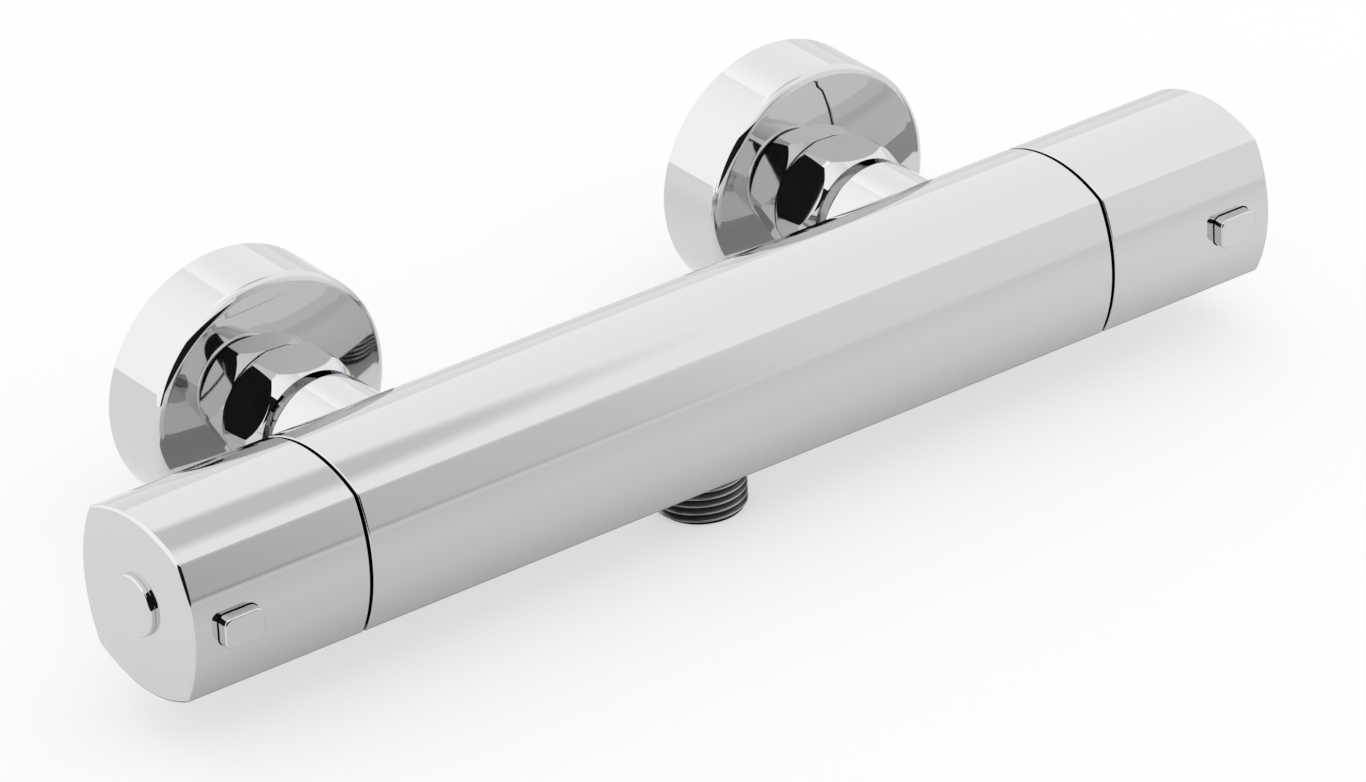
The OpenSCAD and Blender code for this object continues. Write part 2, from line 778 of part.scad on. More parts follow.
module button() {
    facing_front(button_u) {
        translate([0, 0, arm_out])
            rounded_block(button_len, button_h, button_corner_r, button_face - arm_out);
        translate([0, 0, arm_out]) rounded_block(button_len + 2 * button_flange_edge,
            button_h + 2 * button_flange_edge, button_corner_r, button_flange_t);
        translate([0, 0, arm_out - peg_len]) cylinder(r = peg_r, h = peg_len);
    }
    translate([arm_tip_u, -arm_out, -arm_w / 2])
        cube([button_u - button_len / 2 + arm_t - arm_tip_u, arm_t, arm_w]);
}

module button_spring() facing_front(button_u) translate([0, 0, hub_r + spring_pad_h])
    tube(button_spring_r, button_spring_r - spring_wire, arm_out - hub_r - spring_pad_h);

module temperature_handle() color("silver") in_bar() handle_shell();

module temperature_handle_screw() color("lightgray") in_bar() handle_screw();

module temperature_handle_cap() color("silver") in_bar() handle_cap();

module safety_button() color("silver") in_bar() button();

module safety_button_spring() color("lightgray") in_bar() button_spring();

module flow_handle() color("silver") in_bar() left_of() handle_shell();

module flow_handle_screw() color("lightgray") in_bar() left_of() handle_screw();

module flow_handle_cap() color("silver") in_bar() left_of() handle_cap();

module eco_button() color("silver") in_bar() left_of() button();

module eco_button_spring() color("lightgray") in_bar() left_of() button_spring();

// Ceramic disc headwork in the left end

head_u0 = flow_u0 + head_seal_t;
moving_u0 = head_u0 + disc_t + disc_gap;

module headwork_seal() color("black") in_bar() left_of() along_x(flow_u0)
    tube(disc_r, head_seal_in, head_seal_t);

module disc(u, turn) along_x(u) rotate([0, 0, turn]) difference() {
    cylinder(r = disc_r, h = disc_t);
    for (side = [-1, 1]) translate([side * disc_port_at, 0, -over])
        cylinder(r = disc_port_r, h = disc_t + 2 * over);
}

module ceramic_disc_fixed() color("white") in_bar() left_of() disc(head_u0, 0);

module ceramic_disc_moving() color("lightblue") in_bar() left_of() difference() {
    disc(moving_u0, 90);
    fork_tangs(play);
}

// Tangs of the spindle's fork, which turn the moving disc, or their slots with a gap
module fork_tangs(gap) for (side = [-1, 1]) translate([
    moving_u0 + disc_t - tang_len - gap,
    -tang_w / 2 - gap,
    side * tang_at - tang_h / 2 - gap
]) cube([tang_len + fork_t / 2 + gap, tang_w + 2 * gap, tang_h + 2 * gap]);

head_ring_u = body_half - flow_thread_len - 2 * o_ring_r;

module headwork_body() color("goldenrod") in_bar() left_of() difference() {
    union() {
        along_x(head_u0) cylinder(r = head_low_r, h = head_low_len);
        along_x(head_u0 + head_low_len)
            cylinder(r = head_tube_r, h = body_half - head_u0 - head_low_len);
        along_x(body_half - flow_thread_len) cylinder(r = flow_thread_r, h = flow_thread_len);
        hex_head(body_half);
        along_x(body_half) cylinder(r = neck_r, h = neck_u1 - body_half);
    }
    along_x(head_u0 - over) cylinder(r = head_cavity_r, h = head_cavity_len + over);
    along_x(head_u0) cylinder(r = spindle_r + run_play, h = neck_u1);
    rotate([atan2(return_bore_z, return_bore_y) - 90, 0, 0]) for (side = [0, 180]) rotate([side, 0, 0])
        translate([return_u() - head_window_len / 2, -head_window_w / 2, 0])
            cube([head_window_len, head_window_w, flow_sock_r]);
    o_ring_groove(head_ring_u, head_tube_r, o_ring_r);
}

module headwork_o_ring() color("black") in_bar() left_of()
    along_x(head_ring_u) ring(head_tube_r - o_ring_r, o_ring_r);

module headwork_spindle() color("gold") in_bar() left_of() {
    along_x(moving_u0 + disc_t) cylinder(r = fork_r, h = fork_t);
    fork_tangs(0);
    difference() {
        along_x(moving_u0 + disc_t) cylinder(r = spindle_r, h = neck_u1 - moving_u0 - disc_t);
        o_ring_groove(spindle_ring_u, spindle_r, o_ring_r);
    }
    spline_end();
}

module headwork_spindle_o_ring() color("black") in_bar() left_of() spindle_o_ring();

// Both sides of the parts that come in pairs

module inlet_nipple_left() inlet_nipple(-inlet_spacing / 2);
module inlet_nipple_right() inlet_nipple(inlet_spacing / 2);
module check_valve_housing_left() check_valve_housing(-inlet_spacing / 2);
module check_valve_housing_right() check_valve_housing(inlet_spacing / 2);
module check_valve_poppet_left() check_valve_poppet(-inlet_spacing / 2);
module check_valve_poppet_right() check_valve_poppet(inlet_spacing / 2);
module check_valve_spring_left() check_valve_spring(-inlet_spacing / 2);
module check_valve_spring_right() check_valve_spring(inlet_spacing / 2);
module strainer_washer_left() strainer_washer(-inlet_spacing / 2);
module strainer_washer_right() strainer_washer(inlet_spacing / 2);
module union_nut_left() union_nut(-inlet_spacing / 2, -nut_turn);
module union_nut_right() union_nut(inlet_spacing / 2, -nut_turn);
module eccentric_union_left() eccentric_union(-inlet_spacing / 2);
module eccentric_union_right() eccentric_union(inlet_spacing / 2);
module wall_flange_left() wall_flange(-inlet_spacing / 2);
module wall_flange_right() wall_flange(inlet_spacing / 2);

valve_body();
inlet_nipple_left();
inlet_nipple_right();
check_valve_housing_left();
check_valve_housing_right();
check_valve_poppet_left();
check_valve_poppet_right();
check_valve_spring_left();
check_valve_spring_right();
strainer_washer_left();
strainer_washer_right();
union_nut_left();
union_nut_right();
eccentric_union_left();
eccentric_union_right();
wall_flange_left();
wall_flange_right();
hose_outlet_nipple();
cartridge_seal();
cartridge_body();
cartridge_o_rings();
hot_filter();
cold_filter();
hot_cold_shuttle();
wax_element();
shuttle_spring();
overload_cup();
overload_spring();
regulating_nut();
thermostat_spindle();
thermostat_spindle_o_ring();
cartridge_nut();
temperature_stop_ring();
temperature_handle();
temperature_handle_screw();
temperature_handle_cap();
safety_button();
safety_button_spring();
headwork_seal();
ceramic_disc_fixed();
ceramic_disc_moving();
headwork_body();
headwork_o_ring();
headwork_spindle();
headwork_spindle_o_ring();
flow_stop_ring();
flow_handle();
flow_handle_screw();
flow_handle_cap();
eco_button();
eco_button_spring();
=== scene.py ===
import json
import math

import bmesh
import bpy
from mathutils import Matrix, Vector


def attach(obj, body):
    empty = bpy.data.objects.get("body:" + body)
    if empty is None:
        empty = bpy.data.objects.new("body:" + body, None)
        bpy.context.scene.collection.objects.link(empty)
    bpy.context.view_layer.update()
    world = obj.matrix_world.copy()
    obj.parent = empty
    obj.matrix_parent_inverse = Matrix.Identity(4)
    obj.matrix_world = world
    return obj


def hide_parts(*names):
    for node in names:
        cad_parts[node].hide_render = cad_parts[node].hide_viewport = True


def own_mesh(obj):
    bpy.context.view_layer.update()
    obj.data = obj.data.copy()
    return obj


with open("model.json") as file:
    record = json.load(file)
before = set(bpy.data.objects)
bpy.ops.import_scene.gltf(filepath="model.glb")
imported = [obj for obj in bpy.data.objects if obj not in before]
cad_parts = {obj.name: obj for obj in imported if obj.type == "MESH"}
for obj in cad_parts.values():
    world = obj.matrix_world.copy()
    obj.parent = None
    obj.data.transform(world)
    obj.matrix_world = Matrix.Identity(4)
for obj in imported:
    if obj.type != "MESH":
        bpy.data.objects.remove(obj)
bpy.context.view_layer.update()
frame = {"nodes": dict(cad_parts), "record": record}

MM = 0.001

# Sizes are in millimetres and repeat the part's source. OUT and IN are places along the bar
# for a handle, places along Y for a spring, and distances before the bar's axis for the rest.

# The bar
PIPE_X = 75
NUT_Z = 5
BAR_Y = -71
BAR_Z = 4.4
BAR = (BAR_Y, BAR_Z)
ARC_R = 34.1190
ARC_SHIFT = 13.5190
CORNER = 16.4
CORNER_EASE = 0.53
SEAM_EASE = 0.35
BODY_HALF = 100
# Bores of the body along the bar: radius and both ends
BODY_BORES = [(14, 50, 100.5), (15.5, 91, 100.5), (17.2, 57, 62), (15.8, 70.5, 79.5),
              (11, -100.5, -62), (13, -100.5, -90), (6.5, -62.5, 50.5)]
# Side channels of the body: both ends, and how far they lie from the bar's axis
CHANNEL_R = 2.6
CHANNELS = [(-75, 59.5, 14.6, 9.2), (-72.7, 0, -9.5, -13)]
BOSS_R = 14.2
BOSS_W = 37.483
BOSS_EASE = 0.8
NIPPLE_R = 9.5
NIPPLE_DEPTH = 12.5
INLET_R = 8
INLET_DEPTHS = ((-PIPE_X, 20.9), (PIPE_X, 33.5))

# The handles
HANDLE_IN = 100.8
HANDLE_OUT = 145.5
PAST_END = 146
END_EASE = 0.9
END_WALL = 3.5
CAVITY_R = 17.4
HUB_R = 7.5
HUB_IN = 112.5
# Bores of the hub along the bar: radius and both ends
HUB_BORES = [(4.7, 112, 122), (2, 112, PAST_END), (5, 127.5, PAST_END)]
CAP_SEAT_R = 6.2
CAP_SEAT_SINK = 0.1
SPRING_PAD_R = 3.2
SPRING_PAD_OUT = 8.5
WINDOW_GAP = 0.25
WINDOW_OUT = 25
WINDOW_IN = 13.9

# The caps in the handles' ends: CAP_OUT is how far one stands proud, PLUG_IN a place along the bar
CAP_R = 6.95
CAP_OUT = 1.3
CAP_EASE = 0.5
CAP_FLAT_EDGE = 1.2
CAP_FOOT = 0.1
PLUG_R = 6.1
PLUG_BORE_R = 5.35
PLUG_IN = 142.6

# The buttons
BUTTON_X = 134.2
BUTTON_OUT = 23.3
BUTTON_IN = 14.2
BUTTON_LEN = 10
BUTTON_H = 7.2
BUTTON_CORNER = 1.9
BUTTON_EASE = 0.5
COLLAR_W = 0.7
COLLAR_OUT = 16.4
PEG_R = 1.5
PEG_OUT = 14.3
PEG_IN = 11
ARM_CENTRE = (119, BAR_Y - 13.55, BAR_Z)
ARM_SIZE = (23, 1.5, 4)

# The springs
WIRE_R = 0.3
BUTTON_SPRING_R = 2.4
BUTTON_SPRING_TURNS = 4.5
BUTTON_SPRING_IN = -79.5
BUTTON_SPRING_OUT = -85.2
CHECK_SPRING_R = 2.3
CHECK_SPRING_TURNS = 6.5
CHECK_SPRING_IN = -35.883
CHECK_SPRING_OUT = -45.383

# The wall flanges
FLANGE_R = 30
FLANGE_DEPTH = 19
FLANGE_WALL = 1.5
FLANGE_FOOT = 0.3
FLANGE_RIM_R = 2.2
FLANGE_RIM_TURN = 81
FLANGE_BORE_R = 13.22
FLANGE_MOUTH_R = 13.6
FLANGE_MOUTH_SINK = 0.55
FLANGE_NECK_R = 15.62
FLANGE_NECK_W = 10
DOME_H = 2.3
DOME_R = 169.164

# The union nuts
NUT_LOW = 20.883
NUT_HIGH = 34.583
NUT_TURN = 3
NUT_FLATS = 28.2
NUT_FACE_R = 13.75
NUT_BACK_R = 14.3
NUT_LIP = 1.6
NUT_THREAD_R = 13.22
NUT_BORE_R = 10.9
NUT_EASE = 0.26
NUT_EASE_FROM = 22
# The turned form of a nut's corners: radius, and the distance from its back or its face
NUT_BACK_TURNING = [(15.35, 1.6), (16.02, 3), (15.95, 6)]
NUT_FACE_TURNING = [(15.76, 3.2), (14.86, 1.6)]

# The hose outlet
PITCH = 1.814
THREAD_R = 10.48
THREAD_ROOT_R = 9.32
THREAD_HIGH = -15.4
THREAD_EASE_LOW = 1.0
THREAD_EASE_HIGH = 0.2
OUTLET_LOW = -25.4
OUTLET_BORE_R = 7
SHANK_R = 9.5
SHANK_HIGH = -10.6
SHANK_HOLE_LOW = 9

# How far a cutter runs past what it cuts, and when two places count as one
OVER = 0.5
NEAR = 0.01
WELD = 0.002

# Angles in degrees from which an edge stays sharp
SHARP = 30
SHARP_THREAD = 40
SHARP_COIL = 60

STAND = {"X": (0, math.pi / 2, 0), "Y": (-math.pi / 2, 0, 0), "Z": (0, 0, 0)}
ALONG = {"X": Vector((1, 0, 0)), "Y": Vector((0, 1, 0)), "Z": Vector((0, 0, 1))}
SIDEWAYS = {"X": ALONG["Y"], "Y": ALONG["X"], "Z": ALONG["X"]}


# Handling of pieces

def take(piece):
    """Leaves this piece alone selected and active."""
    bpy.ops.object.select_all(action="DESELECT")
    piece.select_set(True)
    bpy.context.view_layer.objects.active = piece


def settle(name):
    """Names the new primitive and puts its place into its mesh."""
    piece = bpy.context.active_object
    piece.name = name
    piece.data.name = name
    take(piece)
    bpy.ops.object.transform_apply(location=True, rotation=True, scale=True)
    return piece


def open_mesh(piece, action="DESELECT"):
    """Opens a mesh for editing, with nothing or everything selected."""
    take(piece)
    bpy.ops.object.mode_set(mode="EDIT")
    bpy.ops.mesh.select_mode(type="VERT")
    bpy.ops.mesh.select_all(action=action)


def close_mesh():
    bpy.ops.object.mode_set(mode="OBJECT")


def close_outwards():
    """Turns all faces outwards before the mesh is closed."""
    bpy.ops.mesh.select_all(action="SELECT")
    bpy.ops.mesh.normals_make_consistent(inside=False)
    close_mesh()


def pick_edges(piece, wanted):
    """Selects the edges whose two ends, in millimetres, answer the question."""
    bpy.ops.mesh.select_mode(type="EDGE")
    bpy.ops.mesh.select_all(action="DESELECT")
    mesh = bmesh.from_edit_mesh(piece.data)
    for edge in mesh.edges:
        if wanted(edge.verts[0].co / MM, edge.verts[1].co / MM):
            edge.select_set(True)
    bmesh.update_edit_mesh(piece.data)


def lies_at(axis, level):
    """The question for an edge that lies at a level of the axis 0, 1 or 2."""
    return lambda a, b: max(abs(a[axis] - level), abs(b[axis] - level)) < NEAR


def ease_edges(piece, wanted, width, steps):
    """Rounds the edges that answer the question."""
    open_mesh(piece)
    pick_edges(piece, wanted)
    bpy.ops.mesh.bevel(offset=width * MM, segments=steps, profile=0.5, affect="EDGES",
                       clamp_overlap=False)
    close_mesh()


def point_on(axis, across, height):
    """A point in millimetres at a height on an axis whose other two coordinates are across."""
    if axis == "X":
        return Vector((height, across[0], across[1]))
    if axis == "Y":
        return Vector((across[0], height, across[1]))
    return Vector((across[0], across[1], height))


def rod(name, radius, low, high, across, axis, sides):
    """A plain round rod from low to high along an axis."""
    bpy.ops.mesh.primitive_cylinder_add(
        vertices=sides, radius=radius * MM, depth=(high - low) * MM,
        location=point_on(axis, across, (low + high) / 2) * MM, rotation=STAND[axis])
    return settle(name)


def combine(piece, other, how):
    """Joins, cuts or keeps in common two solids, and removes the second one."""
    take(piece)
    step = piece.modifiers.new("combine", "BOOLEAN")
    step.operation = how
    step.solver = "EXACT"
    step.object = other
    bpy.ops.object.modifier_apply(modifier=step.name)
    bpy.data.objects.remove(other)
    return piece


def cut_rod(piece, radius, low, high, across, axis, sides=64):
    return combine(piece, rod("cutter", radius, low, high, across, axis, sides), "DIFFERENCE")


def add_rod(piece, radius, low, high, across, axis, sides=64):
    return combine(piece, rod("addition", radius, low, high, across, axis, sides), "UNION")


def arc(centre_r, centre_h, radius, start, end, steps):
    """Outline points of an arc, angles in degrees from the radius towards the height."""
    turn = [math.radians(start + (end - start) * i / steps) for i in range(steps + 1)]
    return [(centre_r + radius * math.cos(a), centre_h + radius * math.sin(a)) for a in turn]


def drawn(name, points):
    """A line of edges through points in metres, left open for editing."""
    bpy.ops.object.select_all(action="DESELECT")
    bpy.ops.mesh.primitive_plane_add(size=MM, location=points[0])
    piece = settle(name)
    open_mesh(piece, "SELECT")
    bpy.ops.mesh.merge(type="CENTER")
    for before, after in zip(points, points[1:]):
        bpy.ops.mesh.extrude_vertices_move(TRANSFORM_OT_translate={"value": after - before})
    return piece


def turned(name, outline, across, axis, steps, way=1):
    """Spins an outline of radius and height points round an axis, as on a lathe."""
    side = SIDEWAYS[axis]
    piece = drawn(name, [(point_on(axis, across, way * h) + side * r) * MM for r, h in outline])
    bpy.ops.mesh.select_all(action="SELECT")
    bpy.ops.mesh.spin(steps=steps, angle=2 * math.pi, center=point_on(axis, across, 0) * MM,
                      axis=ALONG[axis])
    bpy.ops.mesh.select_all(action="SELECT")
    bpy.ops.mesh.remove_doubles(threshold=WELD * MM)
    close_outwards()
    return piece


def polish(piece, angle=SHARP):
    """Smooth shading that keeps flat faces flat and sharp edges sharp."""
    take(piece)
    bpy.ops.object.shade_smooth_by_angle(angle=math.radians(angle))
    step = piece.modifiers.new("even", "WEIGHTED_NORMAL")
    step.keep_sharp = True
    step.weight = 50
    bpy.ops.object.modifier_apply(modifier=step.name)


def copied(piece, name):
    """A copy with its own mesh, left open for editing with everything selected."""
    take(piece)
    bpy.ops.object.duplicate(linked=False)
    other = bpy.context.active_object
    other.name = name
    other.data.name = name
    open_mesh(other, "SELECT")
    return other


def left_copy(piece, name, angle=SHARP):
    """A copy of a right-hand piece for the left end, mirrored across the middle."""
    other = copied(piece, name)
    bpy.ops.transform.mirror(constraint_axis=(True, False, False), orient_type="GLOBAL",
                             center_override=(0, 0, 0))
    close_outwards()
    polish(other, angle)
    return other


def moved_copy(piece, name):
    """A copy of a piece of the right wall connection for the left one."""
    other = copied(piece, name)
    bpy.ops.transform.translate(value=(-2 * PIPE_X * MM, 0, 0))
    close_mesh()
    return other


# The bar

def bar_stretch(name, low, high, low_ease, high_ease):
    """A length of the bar: what four large rounds have in common, with all its edges eased."""
    piece = rod(name, ARC_R, low, high, (BAR_Y + ARC_SHIFT, BAR_Z), "X", 172)
    for across in ((BAR_Y - ARC_SHIFT, BAR_Z), (BAR_Y, BAR_Z + ARC_SHIFT),
                   (BAR_Y, BAR_Z - ARC_SHIFT)):
        combine(piece, rod("round", ARC_R, low - 5, high + 5, across, "X", 172), "INTERSECT")

    def at_corner(p):
        return abs(abs(p.y - BAR_Y) - CORNER) < 0.1 and abs(abs(p.z - BAR_Z) - CORNER) < 0.1

    def lengthwise(a, b):
        return abs(a.x - b.x) > 1 and at_corner(a) and at_corner(b)

    ease_edges(piece, lengthwise, CORNER_EASE, 5)
    ease_edges(piece, lies_at(0, low), low_ease, 4)
    ease_edges(piece, lies_at(0, high), high_ease, 5)
    return piece


def make_body():
    """The middle of the bar with its two bosses, its bores and its side channels."""
    body = bar_stretch("valve_body_chrome", -BODY_HALF, BODY_HALF, SEAM_EASE, SEAM_EASE)
    for x in (-PIPE_X, PIPE_X):
        boss = rod("boss", BOSS_R, BAR_Y, -BOSS_W, (x, NUT_Z), "Y", 128)
        ease_edges(boss, lies_at(1, -BOSS_W), BOSS_EASE, 5)
        combine(body, boss, "UNION")
    for x, depth in INLET_DEPTHS:
        cut_rod(body, NIPPLE_R, -BOSS_W - NIPPLE_DEPTH, -BOSS_W + OVER, (x, NUT_Z), "Y")
        cut_rod(body, INLET_R, -BOSS_W - depth, -BOSS_W + OVER, (x, NUT_Z), "Y")
    for radius, low, high in BODY_BORES:
        cut_rod(body, radius, low, high, BAR, "X")
    for low, high, away_y, away_z in CHANNELS:
        cut_rod(body, CHANNEL_R, low, high, (BAR_Y + away_y, BAR_Z + away_z), "X", 32)
    cut_rod(body, SHANK_R, OUTLET_LOW, BAR_Z - SHANK_HOLE_LOW, (0, BAR_Y), "Z")
    polish(body)
    return body


def rounded_bar(name, width, height, corner, low, high):
    """A bar of rounded rectangular section towards the front, at the button's place."""
    bpy.ops.mesh.primitive_cube_add(
        size=MM, location=Vector((BUTTON_X, (low + high) / 2, BAR_Z)) * MM,
        scale=(width, high - low, height))
    piece = settle(name)
    ease_edges(piece, lambda a, b: abs(a.y - b.y) > 0.5, corner, 8)
    return piece


def make_handle():
    """The right handle: its hollow, its hub, its spring pad and its button's window."""
    end_wall = HANDLE_OUT - END_WALL
    handle = bar_stretch("temperature_handle_chrome", HANDLE_IN, HANDLE_OUT, SEAM_EASE, END_EASE)
    cut_rod(handle, CAVITY_R, HANDLE_IN - OVER, end_wall, BAR, "X", 128)
    add_rod(handle, HUB_R, HUB_IN, end_wall + OVER, BAR, "X")
    add_rod(handle, SPRING_PAD_R, BAR_Y - SPRING_PAD_OUT, BAR_Y, (BUTTON_X, BAR_Z), "Y", 48)
    for radius, low, high in HUB_BORES:
        cut_rod(handle, radius, low, high, BAR, "X", 48)
    cut_rod(handle, CAP_SEAT_R, end_wall - CAP_SEAT_SINK, PAST_END, BAR, "X", 96)
    window = rounded_bar("window", BUTTON_LEN + 2 * WINDOW_GAP, BUTTON_H + 2 * WINDOW_GAP,
                         BUTTON_CORNER + WINDOW_GAP, BAR_Y - WINDOW_OUT, BAR_Y - WINDOW_IN)
    combine(handle, window, "DIFFERENCE")
    polish(handle)
    return handle


def make_cap():
    """The round cap in the right handle's end, with its hollow plug."""
    face = HANDLE_OUT + CAP_OUT
    outline = [(0, face), (CAP_R - CAP_FLAT_EDGE, face)]
    outline += arc(CAP_R - CAP_EASE, face - CAP_EASE, CAP_EASE, 90, 0, 8)
    outline += [(CAP_R, HANDLE_OUT + CAP_FOOT), (CAP_R - CAP_FOOT, HANDLE_OUT)]
    outline += [(PLUG_R, HANDLE_OUT), (PLUG_R, PLUG_IN), (PLUG_BORE_R, PLUG_IN)]
    outline += [(PLUG_BORE_R, HANDLE_OUT), (0, HANDLE_OUT)]
    cap = turned("temperature_handle_cap_chrome", outline, BAR, "X", 128)
    polish(cap)
    return cap


def make_button():
    """The button with its front edge eased, its collar, its spring peg and its stop arm."""
    face = BAR_Y - BUTTON_OUT
    back = BAR_Y - BUTTON_IN
    button = rounded_bar("safety_button_chrome", BUTTON_LEN, BUTTON_H, BUTTON_CORNER, face, back)
    ease_edges(button, lies_at(1, face), BUTTON_EASE, 6)
    collar = rounded_bar("collar", BUTTON_LEN + 2 * COLLAR_W, BUTTON_H + 2 * COLLAR_W,
                         BUTTON_CORNER, BAR_Y - COLLAR_OUT, back)
    combine(button, collar, "UNION")
    add_rod(button, PEG_R, BAR_Y - PEG_OUT, BAR_Y - PEG_IN, (BUTTON_X, BAR_Z), "Y", 32)
    bpy.ops.mesh.primitive_cube_add(size=MM, location=Vector(ARM_CENTRE) * MM, scale=ARM_SIZE)
    combine(button, settle("arm"), "UNION")
    polish(button)
    return button


# The wall connection

def make_flange():
    """The right flange: a thin shell with a domed face and a neck on the union's thread."""
    rim_h = FLANGE_DEPTH - FLANGE_RIM_R
    dome_low = FLANGE_DEPTH + DOME_H - DOME_R
    mouth = (FLANGE_BORE_R, FLANGE_DEPTH + DOME_H - FLANGE_MOUTH_SINK)
    dome_inner_r = DOME_R - FLANGE_WALL
    from_mouth = math.degrees(math.acos(FLANGE_MOUTH_R / DOME_R))
    from_neck = math.degrees(math.acos(FLANGE_NECK_R / dome_inner_r))
    to_rim = math.degrees(math.acos((FLANGE_R - FLANGE_RIM_R) / DOME_R))
    outline = [mouth]
    outline += arc(0, dome_low, DOME_R, from_mouth, to_rim, 12)
    outline += arc(FLANGE_R - FLANGE_RIM_R, rim_h, FLANGE_RIM_R, FLANGE_RIM_TURN, 0, 10)
    outline += [(FLANGE_R, FLANGE_FOOT), (FLANGE_R - FLANGE_FOOT, 0)]
    outline += [(FLANGE_R - FLANGE_WALL, 0), (FLANGE_R - FLANGE_WALL, rim_h)]
    outline += arc(FLANGE_R - FLANGE_RIM_R, rim_h, FLANGE_RIM_R - FLANGE_WALL,
                   0, FLANGE_RIM_TURN, 4)
    outline += arc(0, dome_low, dome_inner_r, to_rim, from_neck, 6)
    outline += [(FLANGE_NECK_R, FLANGE_NECK_W), (FLANGE_BORE_R, FLANGE_NECK_W), mouth]
    flange = turned("wall_flange_right_chrome", outline, (PIPE_X, NUT_Z), "Y", 256, way=-1)
    polish(flange)
    return flange


def make_nut():
    """The right nut: a hexagon turned down at both ends and slightly at its corners, and bored."""
    bpy.ops.mesh.primitive_cylinder_add(
        vertices=6, radius=NUT_FLATS / math.sqrt(3) * MM, depth=(NUT_HIGH - NUT_LOW) * MM,
        location=Vector((PIPE_X, -(NUT_LOW + NUT_HIGH) / 2, NUT_Z)) * MM,
        rotation=(math.pi / 2, math.radians(30 + NUT_TURN), 0))
    nut = settle("union_nut_right_chrome")
    outline = [(0, NUT_LOW), (NUT_BACK_R, NUT_LOW)]
    outline += [(r, NUT_LOW + h) for r, h in NUT_BACK_TURNING]
    outline += [(r, NUT_HIGH - h) for r, h in NUT_FACE_TURNING]
    outline += [(NUT_FACE_R, NUT_HIGH), (0, NUT_HIGH)]
    blank = turned("blank", outline, (PIPE_X, NUT_Z), "Y", 192, way=-1)
    combine(nut, blank, "INTERSECT")
    cut_rod(nut, NUT_THREAD_R, NUT_LIP - NUT_HIGH, OVER - NUT_LOW, (PIPE_X, NUT_Z), "Y", 96)
    cut_rod(nut, NUT_BORE_R, -NUT_HIGH - OVER, -NUT_LOW, (PIPE_X, NUT_Z), "Y", 96)
    take(nut)
    step = nut.modifiers.new("ease", "BEVEL")
    step.width = NUT_EASE * MM
    step.segments = 3
    step.limit_method = "ANGLE"
    step.angle_limit = math.radians(NUT_EASE_FROM)
    bpy.ops.object.modifier_apply(modifier=step.name)
    polish(nut)
    return nut


# The hose outlet

def make_thread(name, low, high):
    """One tooth's outline screwed up the axis, trimmed to a turned blank and bored."""
    turns = math.ceil((high - low) / PITCH) + 3
    start = low - 1.5 * PITCH
    depth = THREAD_R - THREAD_ROOT_R
    foot = THREAD_ROOT_R + 0.12 * depth
    shoulder = THREAD_R - 0.18 * depth
    crown = THREAD_R - 0.03 * depth
    # Half a tooth: radius, and height as a share of the pitch
    rise = [(THREAD_ROOT_R, 0), (foot, 0.1), (shoulder, 0.34), (crown, 0.44)]
    fall = [(crown, 0.56), (shoulder, 0.66), (foot, 0.9), (THREAD_ROOT_R, 1)]
    tooth = rise + [(THREAD_R, 0.5)] + fall
    piece = drawn(name, [Vector((r, 0, h * PITCH)) * MM for r, h in tooth])
    close_mesh()
    step = piece.modifiers.new("screw", "SCREW")
    step.axis = "Z"
    step.angle = 2 * math.pi
    step.screw_offset = PITCH * MM
    step.iterations = turns
    step.steps = step.render_steps = 72
    step.use_merge_vertices = True
    step.merge_threshold = WELD * MM
    bpy.ops.object.modifier_apply(modifier=step.name)
    open_mesh(piece, "SELECT")
    bpy.ops.mesh.remove_doubles(threshold=WELD * MM)
    bpy.ops.transform.translate(value=(0, 0, start * MM))
    for height, clear_low in ((low, True), (high, False)):
        bpy.ops.mesh.select_all(action="SELECT")
        bpy.ops.mesh.bisect(plane_co=(0, 0, height * MM), plane_no=(0, 0, 1), use_fill=True,
                            clear_inner=clear_low, clear_outer=not clear_low,
                            threshold=0.0001 * MM)
    close_outwards()
    wide = THREAD_R + 0.2
    outline = [(0, low), (THREAD_R - THREAD_EASE_LOW, low), (wide, low + THREAD_EASE_LOW + 0.2)]
    outline += [(wide, high - THREAD_EASE_HIGH - 0.2), (THREAD_R - THREAD_EASE_HIGH, high)]
    outline += [(0, high)]
    combine(piece, turned("blank", outline, (0, 0), "Z", 144), "INTERSECT")
    cut_rod(piece, OUTLET_BORE_R, low - 1, high + 1, (0, 0), "Z", 64)
    open_mesh(piece, "SELECT")
    bpy.ops.transform.translate(value=Vector((0, BAR_Y, 0)) * MM)
    close_mesh()
    return piece


def make_outlet():
    """The thread and the shank above it, two closed solids in one piece."""
    outlet = make_thread("hose_outlet_nipple_metal", OUTLET_LOW, THREAD_HIGH)
    shank = rod("shank", SHANK_R, THREAD_HIGH, SHANK_HIGH, (0, BAR_Y), "Z", 96)
    cut_rod(shank, OUTLET_BORE_R, -20, -10, (0, BAR_Y), "Z", 64)
    take(outlet)
    shank.select_set(True)
    bpy.ops.object.join()
    polish(outlet, SHARP_THREAD)
    return outlet


# Springs

